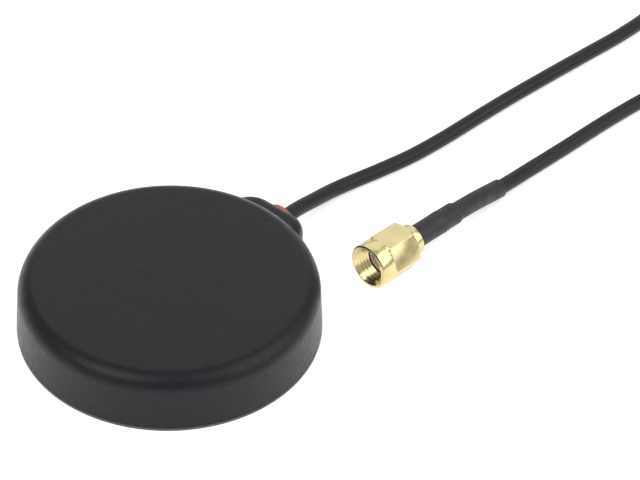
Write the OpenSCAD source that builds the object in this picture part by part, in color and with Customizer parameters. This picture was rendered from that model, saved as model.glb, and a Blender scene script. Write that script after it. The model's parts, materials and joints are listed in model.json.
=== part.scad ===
// Round GNSS antenna puck with a sealed coaxial cable and an SMA plug.
// Origin: centre of the flat underside. +Z up, +X along the cable's exit. Millimetres.

/* [Housing] */
// Diameter of the housing at its underside
housing_d = 53; // [52:0.5:56]
// Height from the underside to the flat top
housing_h = 11; // [11:0.5:14]
// How far the wall leans in from the underside to the top edge
wall_draft = 0.45; // [0:0.05:0.8]
// Radius of the rounded top edge
top_edge_r = 3; // [1:0.25:3]
// Thickness of the radome's side wall at the underside
side_wall = 2.3; // [2:0.1:2.4]
// Thickness of the radome's flat top
top_wall = 1.6; // [1.2:0.1:1.6]
// Height of the base plate's rim, seen below the radome
rim_h = 0.6; // [0.5:0.1:0.8]

/* [Cable exit] */
// Distance from the housing's centre to the exit boss's outer face
boss_reach = 29.8; // [29.4:0.1:30]
// Height of the exit boss above the underside
boss_h = 8.4; // [8.2:0.1:8.6]
// Width of the exit boss's flat outer face
boss_face_w = 5.8; // [5.4:0.1:6.2]
// Height of the cable's axis where it leaves the boss
exit_z = 4; // [3.95:0.05:4.05]

/* [Cable] */
// Outer diameter of the coaxial cable
cable_d = 2.8; // [2.8:0.1:2.9]
// Radius at the middle of the stored coil's turns
coil_mid_r = 21; // [21:0.5:22]
// Turns side by side in the stored coil
coil_columns = 5; // [5:1:5]
// Layers of turns in the stored coil
coil_layers = 4; // [4:1:4]

/* [Plug] */
// Width across the flats of the coupling nut
nut_flats = 7.95; // [7.85:0.05:8.05]
// Length of the coupling nut
nut_len = 9.3; // [9.2:0.1:9.4]
// Radius of the nut's round front
nut_front_r = 4.2; // [4.1:0.05:4.2]
// Radius of the nut's thread
thread_r = 3.2; // [3.18:0.01:3.22]

/* [Hidden] */

$fn = 96;

gap = 0.05;               // clearance between pieces that are only laid together
far = 100;                // longer than any piece
housing_r = housing_d / 2;
top_r = housing_r - wall_draft;          // wall radius where the top edge starts to round
inner_r = housing_r - side_wall;         // straight inside wall of the radome
ceiling_z = housing_h - top_wall;

plug_r = inner_r - 0.15;  // part of the base plate that goes up inside the radome
plate_top = 2.6;
pad_r = 18.6;
pad_h = 0.6;
gasket_r = 0.4;
gasket_z = 1.25;

screw_ring_r = 21.6;      // pitch radius of the base screws
screw_r = 0.95;
screw_head_r = 1.8;
screw_head_h = 0.9;
screw_top = 6.5;
screw_post_r = 2.2;

magnet_ring_r = 14;
magnet_r = 4;
magnet_top = 2;

board_r = 19;
board_z = 5;
board_h = 0.8;
notch_x = 14.8;           // notch in the board for the stripped cable
notch_w = 3;
post_ring_r = 16.8;
post_r = 1.6;
post_screw_r = 0.7;
post_angles = [60, 180, 300];

lower_w = 26;             // lower ceramic patch
lower_top = 7.4;
upper_w = 20;             // upper ceramic patch
upper_top = 9.1;
metal_h = 0.1;            // printed silver electrode
upper_base = lower_top + metal_h;
feed_spots = [[2.5, 0], [-4, 4]];
feed_r = 0.4;

shield_box = [16, 14, 1.6];
shield_at = [-9, -7];     // low corner of the shield can
shield_wall = 0.2;
chip_boxes = [[-7, -4, 2, 2], [-2, -4.5, 2.6, 2], [2.5, -4, 1.8, 1.4], [-6.5, 1, 1.8, 1.4], [-1.5, 1.5, 2, 2.6]];
chip_h = 0.8;

// the boss that the cable leaves by: flat face, round corners, flanks that run into the wall
boss_root_x = 20;
boss_root_w = 23;
boss_corner_r = 5;
boss_turn = 60;           // how far each corner turns
boss_edge_r = 3;
flank_len = 6;
seal_r = 2.2;             // seal's body inside the boss
seal_ring_r = 3.3;        // seal's outer flange, set into the boss's face
seal_back_r = 2.3;        // seal's inner flange
seal_seat_x = 28.4;       // floor of the outer flange's seat
seal_out = 0.6;           // how far the outer flange stands out of the boss's face
trough_w = 6.6;           // trough in the base plate under the cable
trough_z = 1;
trough_x = 14;

cable_r = cable_d / 2;
lead_x = 20;              // jacket's end inside the housing
braid_r = 1.05;
insulation_r = 0.75;
core_r = 0.25;
contact_r = 0.45;

// the route on the floor, from inside the housing to the coil's first turn
out_route = [[20, 0, 4], [25, 0, 4], [30, 0, 4], [34.5, 0, 3.7], [39.5, 0, 2.7], [44, 0, 1.8], [49, -0.9, 1.4],
    [56, -3, 1.4], [63, -4.8, 1.4], [71, -6.1, 1.4], [80, -7.1, 1.4], [90, -8.3, 1.4], [101, -9.9, 1.4],
    [112, -11.6, 1.4], [122, -13.1, 1.4], [132, -13.6, 1.4], [142, -11.4, 1.4], [151, -6.8, 1.4],
    [160, -0.9, 1.4], [168, 3.9, 1.4], [176, 7.4, 1.4], [184, 8.6, 1.4]];
coil_at = [184, -18];
coil_in_r = coil_mid_r - coil_columns * cable_r;
coil_out_r = coil_mid_r + coil_columns * cable_r;
coil_h = coil_layers * cable_d;
tail_r = coil_out_r + cable_r;           // last half turn lies outside the coil
tail_drop = coil_h - cable_d;            // and comes down from the top layer
tail_steps = 8;
function ease(t) = t * t * (3 - 2 * t);
tail_route = [for (k = [0 : tail_steps]) let (t = k / tail_steps, a = 90 - 180 * t,
    r = tail_r - cable_d * (1 - ease(min(1, 2.25 * t))), down = ease(max(0, 1.2 * t - 0.2)))
    [coil_at[0] + r * cos(a), coil_at[1] + r * sin(a), coil_h - cable_r - tail_drop * down]];
// from the coil back to the plug
back_route = [[169, -46.6, 1.4], [155, -43.3, 1.4], [141, -38.6, 1.4], [128, -34, 1.4], [116, -30.6, 1.4],
    [106, -28.2, 1.4], [95, -26.5, 1.4], [84, -25.2, 1.4], [74, -23.9, 1.4]];
sleeve_route = [[65.5, -23.2, 1.95], [61.5, -22.9, 2.6], [57, -22.8, 3.5], [52, -22.57, 4.15]];

// the plug lies on the floor, its axis level; z = 0 of its own frame is the nut's front
plug_at = [30.1, -19.9, 4.25];
plug_yaw = -7;
function on_plug(s) = plug_at + s * [cos(plug_yaw), sin(plug_yaw), 0];
jacket_end = 15.8;
end_route = [on_plug(19.2), on_plug(jacket_end)];

sleeve_small_r = 1.75;
sleeve_large_r = 2.13;
sleeve_bore_r = 1.45;
face_s = 3.3;             // depth of the plug's face inside the nut
flange_s = 4.4;
flange_end = 5.4;
flange_r = 3.1;
barrel_r = 2.6;
barrel_end = 9.5;
collar_r = 2.9;
collar_end = 11.7;
stem_r = 1.55;
stem_end = 15.5;
tube_r = 2.3;
tube_bore_r = 2.1;        // bore behind the plug's face
barrel_bore_r = 1.8;      // bore further back
groove_s = 6.8;
groove_w = 0.6;
groove_r = 2.2;
ring_out_r = 2.95;
ferrule_r = 1.95;
ferrule_end = 18;
large_end = 21.8;
running = 0.08;           // radial clearance of the spinning nut
hex_s = 2.9;              // where the nut's round front ends
thread_len = 2.6;          // the plug's face lies just behind it
relief_r = 3.6;
relief_end = 5.5;
chamfer = 0.5;

// ---- shared shapes ----

// a solid of revolution about Z, from a list of [radius, height] points
module turned(points) {
    rotate_extrude() polygon(points);
}

// a ring about Z
module ring(r_in, r_out, z0, z1) {
    difference() {
        translate([0, 0, z0]) cylinder(r = r_out, h = z1 - z0);
        translate([0, 0, z0 - 1]) cylinder(r = r_in, h = z1 - z0 + 2);
    }
}

// copies on a circle about Z
module around(radius, angles) {
    for (a = angles) rotate([0, 0, a]) translate([radius, 0, 0]) rotate([0, 0, -a]) children();
}

// lays a shape made about Z along the cable's exit, Z becoming X
module on_exit() {
    translate([0, 0, exit_z]) rotate([0, 90, 0]) children();
}

// a bar along the cable's exit from x0 to x1, round above its axis and square below it
module arch(r, down, x0, x1) {
    translate([0, 0, x0]) linear_extrude(x1 - x0) {
        circle(r = r);
        translate([0, -r]) square([down, 2 * r]);
    }
}

// places a shape made about Z on the plug's axis
module on_plug_axis() {
    translate(plug_at) rotate([0, 90, plug_yaw]) children();
}

// corner points of a rounded corner, turning from angle a0 to a1 about c
function corner(c, r, a0, a1, n = 6) = [for (k = [0 : n]) let (a = a0 + (a1 - a0) * k / n)
    [c[0] + r * cos(a), c[1] + r * sin(a)]];

// a smooth curve through the route's points: a position between points i and i + 1
function at(p, i) = p[max(0, min(len(p) - 1, i))];
function between(p, i, t) =
    let (a = at(p, i - 1), b = at(p, i), c = at(p, i + 1), d = at(p, i + 2))
    0.5 * (2 * b + (c - a) * t + (2 * a - 5 * b + 4 * c - d) * t * t + (3 * b - a - 3 * c + d) * t * t * t);
function curve(p, n) = concat(
    [for (i = [0 : len(p) - 2], k = [0 : n - 1]) between(p, i, k / n)], [p[len(p) - 1]]);
function unit(v) = v / norm(v);
function heading(p, i) = unit(at(p, i + 1) - at(p, i - 1));
function ring_points(p, i, r, sides) =
    let (t = heading(p, i), side = unit(cross([0, 0, 1], t)), up = cross(t, side))
    [for (k = [0 : sides - 1]) let (a = 360 * (k + 0.5) / sides) p[i] + r * (cos(a) * side + sin(a) * up)];

// a closed tube of radius r swept along the route
module swept(route, r, n = 2, sides = 8) {
    p = curve(route, n);
    rings = len(p);
    points = [for (i = [0 : rings - 1]) each ring_points(p, i, r, sides)];
    walls = [for (i = [0 : rings - 2], k = [0 : sides - 1]) let (m = (k + 1) % sides, a = i * sides)
        [a + k, a + k + sides, a + m + sides, a + m]];
    first = [for (k = [0 : sides - 1]) k];
    last = [for (k = [sides - 1 : -1 : 0]) (rings - 1) * sides + k];
    polyhedron(points, concat(walls, [first, last]), convexity = 6);
}

// a hollow tube swept along the route, from radius r_in to r_out
module swept_sleeve(route, r_in, r_out, n = 2, sides = 12) {
    p = curve(route, n);
    rings = len(p);
    points = concat([for (i = [0 : rings - 1]) each ring_points(p, i, r_out, sides)],
        [for (i = [0 : rings - 1]) each ring_points(p, i, r_in, sides)]);
    inner = rings * sides;
    walls = [for (i = [0 : rings - 2], k = [0 : sides - 1]) let (m = (k + 1) % sides, a = i * sides)
        each [[a + k, a + k + sides, a + m + sides, a + m],
            [inner + a + k, inner + a + m, inner + a + m + sides, inner + a + k + sides]]];
    z = (rings - 1) * sides;
    ends = [for (k = [0 : sides - 1]) let (m = (k + 1) % sides)
        each [[k, m, inner + m, inner + k], [z + m, z + k, inner + z + k, inner + z + m]]];
    polyhedron(points, concat(walls, ends), convexity = 6);
}

// ---- housing ----

// plan of the exit boss, from the housing's inside out to its flat face
module boss_plan() {
    w = boss_face_w / 2;
    r = boss_corner_r;
    polygon(concat([[boss_root_x, -boss_root_w / 2]],
        corner([boss_reach - r, -w], r, -boss_turn, 0), corner([boss_reach - r, w], r, 0, boss_turn),
        [[boss_root_x, boss_root_w / 2]]));
}

// section of the boss, from x0 out to the given radius, its top edge rounded
module boss_section(x0, r, z0) {
    e = boss_edge_r;
    polygon(concat([[x0, z0], [r, z0]], corner([r - e, boss_h - e], e, 0, 90), [[x0, boss_h]]));
}

// the boss as a solid from z0 up: its flat face, two round corners and two flanks
module boss_solid(z0) {
    w = boss_face_w / 2;
    r = boss_corner_r;
    rotate([90, 0, 0]) translate([0, 0, -w]) linear_extrude(2 * w) boss_section(boss_root_x, boss_reach, z0);
    for (side = [-1, 1]) translate([boss_reach - r, side * w, 0]) {
        rotate_extrude() boss_section(0, r, z0);
        rotate([0, 0, side * boss_turn]) rotate([90, 0, 0])
            translate([0, 0, side < 0 ? 0 : -flank_len]) linear_extrude(flank_len) boss_section(0, r, z0);
    }
}

module radome_outside() {
    r = top_edge_r;
    turned(concat([[0, rim_h + gap], [housing_r, rim_h + gap]],
        corner([top_r - r, housing_h - r], r, 0, 90, 12), [[0, housing_h]]));
}

module radome() {
    color([0.13, 0.13, 0.14]) difference() {
        union() {
            difference() {
                union() {
                    radome_outside();
                    boss_solid(rim_h + gap);
                }
                turned([[0, -1], [inner_r, -1], [inner_r, ceiling_z - 1.4], [inner_r - 1.4, ceiling_z], [0, ceiling_z]]);
            }
            around(screw_ring_r, [45 : 90 : 315])
                translate([0, 0, plate_top + gap]) cylinder(r = screw_post_r, h = ceiling_z - plate_top);
        }
        around(screw_ring_r, [45 : 90 : 315])
            cylinder(r = screw_r + gap, h = screw_top + 0.5);
        on_exit() cylinder(r = seal_r, h = far);
        on_exit() arch(seal_ring_r + gap, exit_z + 1, seal_seat_x, far);
    }
}

module base_plate() {
    bevel = 0.15;
    color([0.17, 0.17, 0.18]) difference() {
        union() {
            turned([[0, 0], [housing_r - bevel, 0], [housing_r, bevel], [housing_r, rim_h],
                [plug_r, rim_h], [plug_r, plate_top], [0, plate_top]]);
            linear_extrude(rim_h) boss_plan();
            around(post_ring_r, post_angles)
                translate([0, 0, plate_top - gap]) cylinder(r = post_r, h = board_z - plate_top);
        }
        // groove for the perimeter gasket
        turned([[plug_r - 2 * gasket_r + 0.15, gasket_z - gasket_r - gap], [plug_r + 1, gasket_z - gasket_r - gap],
            [plug_r + 1, gasket_z + gasket_r + gap], [plug_r - 2 * gasket_r + 0.15, gasket_z + gasket_r + gap]]);
        // recess for the pad
        translate([0, 0, -1]) cylinder(r = pad_r + gap, h = pad_h + 1);
        around(magnet_ring_r, [30, 150, 270]) cylinder(r = magnet_r + gap, h = magnet_top + gap);
        around(screw_ring_r, [45 : 90 : 315]) {
            translate([0, 0, -1]) cylinder(r = screw_r + 0.2, h = far);
            translate([0, 0, 0.2]) cylinder(r1 = screw_head_r + 0.1, r2 = screw_r + 0.1, h = screw_head_h + 0.1);
            translate([0, 0, -1]) cylinder(r = screw_head_r + 0.1, h = 1.2);
        }
        around(post_ring_r, post_angles)
            translate([0, 0, plate_top - 0.4]) cylinder(r = post_screw_r + gap, h = far);
        // trough under the cable
        translate([trough_x, -trough_w / 2, trough_z]) cube([far, trough_w, far]);
    }
}

module perimeter_gasket() {
    color([0.1, 0.1, 0.1]) rotate_extrude()
        translate([inner_r - gasket_r, gasket_z]) circle(r = gasket_r, $fn = 24);
}

module base_screws() {
    color([0.7, 0.7, 0.72]) around(screw_ring_r, [45 : 90 : 315]) difference() {
        turned([[0, 0.2], [screw_head_r, 0.2], [screw_r, 0.2 + screw_head_h], [screw_r, screw_top - 0.6],
            [0.4, screw_top], [0, screw_top]]);
        for (a = [0, 90]) rotate([0, 0, a]) translate([-1, -0.2, 0]) cube([2, 0.4, 0.65]);
    }
}

module base_pad() {
    color([0.08, 0.08, 0.08]) cylinder(r = pad_r, h = pad_h);
}

module magnets() {
    color([0.75, 0.76, 0.78]) around(magnet_ring_r, [30, 150, 270])
        translate([0, 0, pad_h + gap]) cylinder(r = magnet_r, h = magnet_top - pad_h - gap);
}

// ---- antenna and board ----

module circuit_board() {
    color([0.1, 0.35, 0.2]) difference() {
        translate([0, 0, board_z]) cylinder(r = board_r, h = board_h);
        around(post_ring_r, post_angles) cylinder(r = post_screw_r + 0.1, h = far);
        for (p = feed_spots) translate([p[0], p[1], 0]) cylinder(r = feed_r + gap, h = far);
        translate([notch_x, -notch_w / 2, 0]) cube([far, notch_w, far]);
    }
}

module board_screws() {
    color([0.8, 0.8, 0.82]) around(post_ring_r, post_angles) difference() {
        union() {
            translate([0, 0, board_z + board_h + gap]) cylinder(r = 1.3, h = 0.7);
            translate([0, 0, plate_top]) cylinder(r = post_screw_r, h = board_z + board_h + 0.2 - plate_top);
        }
        for (a = [0, 90]) rotate([0, 0, a])
            translate([-0.8, -0.15, board_z + board_h + 0.4]) cube([1.6, 0.3, 1]);
    }
}

module shield_can() {
    z0 = board_z - shield_box[2];
    color([0.75, 0.76, 0.74]) translate([shield_at[0], shield_at[1], z0]) difference() {
        cube([shield_box[0], shield_box[1], shield_box[2] - gap]);
        translate([shield_wall, shield_wall, shield_wall])
            cube([shield_box[0] - 2 * shield_wall, shield_box[1] - 2 * shield_wall, far]);
    }
}

module board_chips() {
    color([0.12, 0.12, 0.12]) for (c = chip_boxes)
        translate([c[0], c[1], board_z - chip_h - gap]) cube([c[2], c[3], chip_h]);
}

module patch(w, z0, z1) {
    difference() {
        translate([-w / 2, -w / 2, z0]) cube([w, w, z1 - z0]);
        for (p = feed_spots) translate([p[0], p[1], 0]) cylinder(r = feed_r + gap, h = far);
    }
}

module lower_patch() {
    color([0.86, 0.82, 0.72]) patch(lower_w, board_z + board_h + gap, lower_top);
}

module lower_electrode() {
    color([0.8, 0.8, 0.8]) patch(lower_w - 4, lower_top, upper_base);
}

module upper_patch() {
    color([0.88, 0.85, 0.76]) patch(upper_w, upper_base, upper_top);
}

module upper_electrode() {
    color([0.82, 0.82, 0.82]) patch(upper_w - 4, upper_top, upper_top + metal_h);
}

module feed_pins() {
    color([0.85, 0.7, 0.3]) for (p = feed_spots)
        translate([p[0], p[1], board_z]) cylinder(r = feed_r, h = upper_top + 0.2 - board_z);
}

// ---- cable ----

module cable_seal() {
    back_x = inner_r - gap - 0.25;
    color([0.85, 0.25, 0.15]) on_exit() difference() {
        union() {
            turned([[0, inner_r - 1.6], [seal_back_r, inner_r - 1.6], [seal_back_r, back_x],
                [seal_r, back_x], [seal_r, seal_seat_x + 1], [0, seal_seat_x + 1]]);
            arch(seal_ring_r, exit_z - rim_h - gap, seal_seat_x + gap, boss_reach + seal_out);
        }
        cylinder(r = cable_r, h = far);
    }
}

module cable_stop() {
    color([0.72, 0.73, 0.74]) on_exit() ring(cable_r, 1.9, lead_x + 0.3, lead_x + 2.3);
}

module cable_out() {
    color([0.16, 0.16, 0.17]) swept(out_route, cable_r);
}

module cable_coil() {
    e = cable_r;
    color([0.16, 0.16, 0.17]) translate([coil_at[0], coil_at[1], 0])
        turned([[coil_in_r, e], [coil_in_r + e, 0], [coil_out_r - e, 0], [coil_out_r, e],
            [coil_out_r, coil_h - e], [coil_out_r - e, coil_h], [coil_in_r + e, coil_h], [coil_in_r, coil_h - e]]);
}

module coil_tie() {
    wall = 0.7;
    tie_w = 5;
    color([0.2, 0.2, 0.2]) translate([coil_at[0] - coil_mid_r, coil_at[1], 0])
        difference() {
            translate([-coil_columns * cable_r - wall, -tie_w / 2, 0])
                cube([coil_columns * cable_d + 2 * wall, tie_w, coil_h + wall]);
            translate([-coil_columns * cable_r, -tie_w, wall])
                cube([coil_columns * cable_d, 2 * tie_w, coil_h - wall]);
        }
}

module cable_back() {
    color([0.16, 0.16, 0.17]) swept(concat(tail_route, back_route, sleeve_route, end_route), cable_r);
}

module coax_braid() {
    color([0.75, 0.72, 0.65]) on_exit() ring(insulation_r + gap, braid_r, lead_x - 3.5, lead_x - gap);
}

module coax_insulation() {
    color([0.93, 0.93, 0.9]) on_exit() ring(core_r + gap, insulation_r, lead_x - 5, lead_x - gap);
}

module coax_core() {
    color([0.78, 0.5, 0.3]) on_exit() translate([0, 0, lead_x - 6.5]) cylinder(r = core_r, h = 6.4);
}

module solder_joints() {
    color([0.78, 0.78, 0.8]) {
        translate([lead_x - 6.6, 0, exit_z + core_r + gap])
            cylinder(r1 = 0.35, r2 = 0.8, h = board_z - exit_z - core_r - 2 * gap);
        for (side = [-1, 1]) translate([lead_x - 2.6, side * 1.8, board_z - 0.55]) cylinder(r = 0.65, h = 0.5);
    }
}

module sleeve_small() {
    color([0.2, 0.18, 0.18]) swept_sleeve(concat(sleeve_route, [on_plug(18.3)]), sleeve_bore_r, sleeve_small_r);
}

module sleeve_large() {
    color([0.2, 0.18, 0.18]) on_plug_axis() difference() {
        ring(sleeve_small_r + gap, sleeve_large_r, collar_end + gap, large_end);
        cylinder(r = ferrule_r + gap, h = ferrule_end + 0.1);
    }
}

// ---- plug ----

module crimp_ferrule() {
    color([0.85, 0.72, 0.4]) on_plug_axis() ring(stem_r + gap, ferrule_r, collar_end + gap, ferrule_end);
}

module plug_body() {
    color([0.85, 0.72, 0.4]) on_plug_axis() difference() {
        turned([[0, face_s], [tube_r, face_s], [tube_r, flange_s], [flange_r, flange_s], [flange_r, flange_end],
            [barrel_r, flange_end], [barrel_r, groove_s], [groove_r, groove_s], [groove_r, groove_s + groove_w],
            [barrel_r, groove_s + groove_w], [barrel_r, barrel_end], [collar_r - 0.3, barrel_end],
            [collar_r, barrel_end + 0.3], [collar_r, collar_end - 0.4], [collar_r - 0.4, collar_end],
            [stem_r, collar_end], [stem_r, stem_end], [0, stem_end]]);
        cylinder(r = tube_bore_r, h = flange_end - 0.2);
        cylinder(r = barrel_bore_r, h = collar_end - 1);
        cylinder(r = insulation_r + gap, h = far);
    }
}

module plug_gasket() {
    color([0.85, 0.7, 0.65]) on_plug_axis() ring(tube_r + gap, flange_r - 0.1, face_s + 0.1, flange_s - gap);
}

module plug_insulator() {
    color([0.93, 0.9, 0.85]) on_plug_axis() difference() {
        turned([[0, face_s + gap], [tube_bore_r - gap, face_s + gap], [tube_bore_r - gap, flange_end - 0.3],
            [barrel_bore_r - gap, flange_end - 0.3], [barrel_bore_r - gap, collar_end - 1.1], [0, collar_end - 1.1]]);
        cylinder(r = contact_r + gap, h = far);
    }
}

module plug_contact() {
    color([0.9, 0.78, 0.45]) on_plug_axis() translate([0, 0, face_s + 0.2])
        cylinder(r = contact_r, h = collar_end - face_s - 1.4);
}

module nut_ring() {
    color([0.8, 0.7, 0.45]) on_plug_axis() difference() {
        ring(groove_r + gap, ring_out_r, groove_s + gap, groove_s + groove_w - gap);
        translate([0, -0.4, 0]) cube([far, 0.8, far]);
    }
}

module coupling_nut() {
    corner_r = nut_flats / 2 / cos(30);
    flat_r = nut_flats / 2;
    color([0.88, 0.76, 0.42]) on_plug_axis() difference() {
        union() {
            turned([[0, 0], [nut_front_r - 0.25, 0], [nut_front_r, 0.25], [nut_front_r, hex_s], [0, hex_s]]);
            intersection() {
                rotate([0, 0, 30]) translate([0, 0, hex_s - 1]) cylinder(r = corner_r, h = nut_len - hex_s + 1, $fn = 6);
                turned([[0, hex_s - 1], [nut_front_r, hex_s - 1], [nut_front_r, hex_s - 0.2],
                    [corner_r + 0.1, hex_s + 0.35], [corner_r + 0.1, nut_len - 0.7], [flat_r - 0.1, nut_len], [0, nut_len]]);
            }
        }
        // mouth, thread, relief behind the thread, and the bore that turns on the barrel
        translate([0, 0, -0.01]) cylinder(r1 = thread_r + chamfer, r2 = thread_r, h = chamfer + 0.01);
        translate([0, 0, chamfer - 0.01]) cylinder(r = thread_r, h = thread_len + 0.01);
        translate([0, 0, chamfer + thread_len]) cylinder(r = relief_r, h = relief_end - chamfer - thread_len);
        cylinder(r = barrel_r + running, h = far);
        translate([0, 0, groove_s - 0.1]) cylinder(r = ring_out_r + 0.1, h = groove_w + 0.2);
    }
}

radome();
base_plate();
perimeter_gasket();
base_screws();
base_pad();
magnets();
circuit_board();
board_screws();
shield_can();
board_chips();
lower_patch();
lower_electrode();
upper_patch();
upper_electrode();
feed_pins();
cable_seal();
cable_stop();
cable_out();
cable_coil();
coil_tie();
cable_back();
coax_braid();
coax_insulation();
coax_core();
solder_joints();
sleeve_small();
sleeve_large();
crimp_ferrule();
plug_body();
plug_gasket();
plug_insulator();
plug_contact();
nut_ring();
coupling_nut();
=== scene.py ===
# Round GNSS antenna puck with a sealed coaxial lead that ends in an SMA plug.
# All lengths below are millimetres unless a name says otherwise; meshes are made in metres.
import json
import math

import bmesh
import bpy
import numpy as np
from mathutils import Matrix, Vector


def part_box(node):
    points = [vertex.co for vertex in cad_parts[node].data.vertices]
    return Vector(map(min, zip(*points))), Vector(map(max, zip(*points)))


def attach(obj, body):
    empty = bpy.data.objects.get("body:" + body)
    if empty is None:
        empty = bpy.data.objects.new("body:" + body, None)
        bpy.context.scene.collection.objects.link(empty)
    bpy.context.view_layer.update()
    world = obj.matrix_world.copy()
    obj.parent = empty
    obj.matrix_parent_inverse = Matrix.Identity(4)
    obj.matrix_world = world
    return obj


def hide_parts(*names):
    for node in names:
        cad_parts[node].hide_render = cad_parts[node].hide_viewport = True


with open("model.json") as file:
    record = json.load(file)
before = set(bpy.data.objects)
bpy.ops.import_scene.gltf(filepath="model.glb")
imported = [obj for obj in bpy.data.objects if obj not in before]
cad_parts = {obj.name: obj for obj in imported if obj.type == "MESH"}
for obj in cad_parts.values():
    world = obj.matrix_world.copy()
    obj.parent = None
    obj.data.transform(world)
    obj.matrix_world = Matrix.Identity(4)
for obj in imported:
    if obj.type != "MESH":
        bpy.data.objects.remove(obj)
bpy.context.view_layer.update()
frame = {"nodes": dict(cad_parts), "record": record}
mm = 0.001
record = frame["record"]
print("frame loaded")


# camera, floor and lights
cameraSet = {
    "place": (-227.816, -206.923, 287.325),
    "azimuth": -52.5,       # degrees, the way it looks round the puck
    "elevation": 41.036,
    "roll": 2.341,
    "lens": 135.713,
    "sensor": 36,
}
lightSet = {
    "backPlace": (0.72, 0.55, 0.79),        # metres
    "backSize": 1.2,
    "backPower": 2.7,       # watts
    "leftPlace": (-0.509, 0.076, 0.613),
    "leftSize": 0.45,
    "leftPower": 2.0,
    "rightPlace": (0.252, -0.579, 0.569),
    "rightSize": 0.85,
    "rightPower": 3.6,
    "skyStrength": 0.55,
    "floorColour": (0.93, 0.93, 0.93, 1),
    "floorGlow": 0.45,      # the table is lit from below
    "floorHalf": 6,
    "target": (0.02, 0, 0),
}


def makeCamera():
    a, e = math.radians(cameraSet["azimuth"]), math.radians(cameraSet["elevation"])
    back = Vector((math.sin(a) * math.cos(e), -math.cos(a) * math.cos(e), math.sin(e)))
    right = Vector((math.cos(a), math.sin(a), 0))
    up = back.cross(right)
    r = math.radians(cameraSet["roll"])
    sideways = right * math.cos(r) + up * math.sin(r)
    upwards = up * math.cos(r) - right * math.sin(r)
    data = bpy.data.cameras.new("camera")
    data.lens, data.sensor_width = cameraSet["lens"], cameraSet["sensor"]
    data.clip_start, data.clip_end = 0.01, 20
    camera = bpy.data.objects.new("camera", data)
    bpy.context.collection.objects.link(camera)
    turn = Matrix((sideways, upwards, back)).transposed().to_4x4()
    camera.matrix_world = Matrix.Translation(Vector(cameraSet["place"]) * mm) @ turn
    bpy.context.scene.camera = camera


def softLight(name, place, size, power):
    data = bpy.data.lights.new(name, "AREA")
    data.shape, data.size, data.energy = "SQUARE", size, power
    light = bpy.data.objects.new(name, data)
    bpy.context.collection.objects.link(light)
    light.location = place
    light.rotation_mode = "QUATERNION"
    light.rotation_quaternion = (Vector(lightSet["target"]) - Vector(place)).to_track_quat("-Z", "Y")


def makeStudio():
    for side in ("back", "left", "right"):
        softLight(side + "Light", *(lightSet[side + value] for value in ("Place", "Size", "Power")))
    world = bpy.data.worlds.new("studioSky")
    world.use_nodes = True
    sky = world.node_tree.nodes["Background"]
    sky.inputs["Color"].default_value = (1, 1, 1, 1)
    sky.inputs["Strength"].default_value = lightSet["skyStrength"]
    bpy.context.scene.world = world
    bpy.context.scene.view_settings.view_transform = "Standard"
    half = lightSet["floorHalf"]
    corners = [(-half, -half, 0), (half, -half, 0), (half, half, 0), (-half, half, 0)]
    mesh = bpy.data.meshes.new("floor")
    mesh.from_pydata(corners, [], [(0, 1, 2, 3)])
    floor = bpy.data.objects.new("floor", mesh)
    bpy.context.collection.objects.link(floor)
    paint = bpy.data.materials.new("palePaper")
    paint.use_nodes = True
    shader = paint.node_tree.nodes["Principled BSDF"]
    shader.inputs["Base Color"].default_value = lightSet["floorColour"]
    shader.inputs["Roughness"].default_value = 0.9
    shader.inputs["Emission Color"].default_value = (1, 1, 1, 1)
    shader.inputs["Emission Strength"].default_value = lightSet["floorGlow"]
    mesh.materials.append(paint)


makeCamera()
makeStudio()
print("camera and studio made")


# mesh helpers
def objectFrom(mesh, name):
    made = bpy.data.objects.new(name, mesh)
    bpy.context.collection.objects.link(made)
    return made


def gridObject(name, rows, wrapRows=False, startCap=False, endCap=False):
    # rows: an array of rows x columns x 3 in millimetres, closed along each row
    rows = np.asarray(rows, float)
    rowCount, columnCount = rows.shape[:2]
    points = rows.reshape(-1, 3) * mm
    last = rowCount if wrapRows else rowCount - 1
    i, k = np.meshgrid(np.arange(last), np.arange(columnCount), indexing="ij")
    j, m = (i + 1) % rowCount, (k + 1) % columnCount
    near, far = i * columnCount, j * columnCount
    faces = np.stack([near + k, near + m, far + m, far + k], -1).reshape(-1, 4).tolist()
    extra = []
    for wanted, row in ((startCap, 0), (endCap, rowCount - 1)):
        if wanted:
            centre = len(points) + len(extra)
            extra.append(rows[row].mean(0) * mm)
            first = row * columnCount
            faces += [(centre, first + c, first + (c + 1) % columnCount) for c in range(columnCount)]
    if extra:
        points = np.concatenate([points, np.array(extra)])
    mesh = bpy.data.meshes.new(name)
    mesh.from_pydata(points.tolist(), [], faces)
    tidyMesh(mesh)
    return objectFrom(mesh, name)


def tidyMesh(mesh):
    # one shared point where several meet, and every face turned outwards
    sameSpot = 1e-7         # metres
    work = bmesh.new()
    work.from_mesh(mesh)
    bmesh.ops.remove_doubles(work, verts=work.verts, dist=sameSpot)
    bmesh.ops.recalc_face_normals(work, faces=work.faces)
    work.to_mesh(mesh)
    work.free()


def smoothBy(piece, degrees):
    mesh = piece.data
    mesh.polygons.foreach_set("use_smooth", [True] * len(mesh.polygons))
    mesh.set_sharp_from_angle(angle=math.radians(degrees))


def evaluated(piece, name):
    # the modifiers' result as a plain mesh in a new object; the old one is removed
    bpy.context.view_layer.update()
    mesh = bpy.data.meshes.new_from_object(piece.evaluated_get(bpy.context.evaluated_depsgraph_get()))
    bpy.data.objects.remove(piece)
    mesh.name = name
    return objectFrom(mesh, name)


def combined(piece, others, operation):
    # operation: UNION adds the others, DIFFERENCE cuts them away, INTERSECT keeps what is shared
    for other in others:
        step = piece.modifiers.new("combine", "BOOLEAN")
        step.operation, step.solver, step.object = operation, "EXACT", other
    made = evaluated(piece, piece.name)
    for other in others:
        bpy.data.objects.remove(other)
    return made


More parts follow.
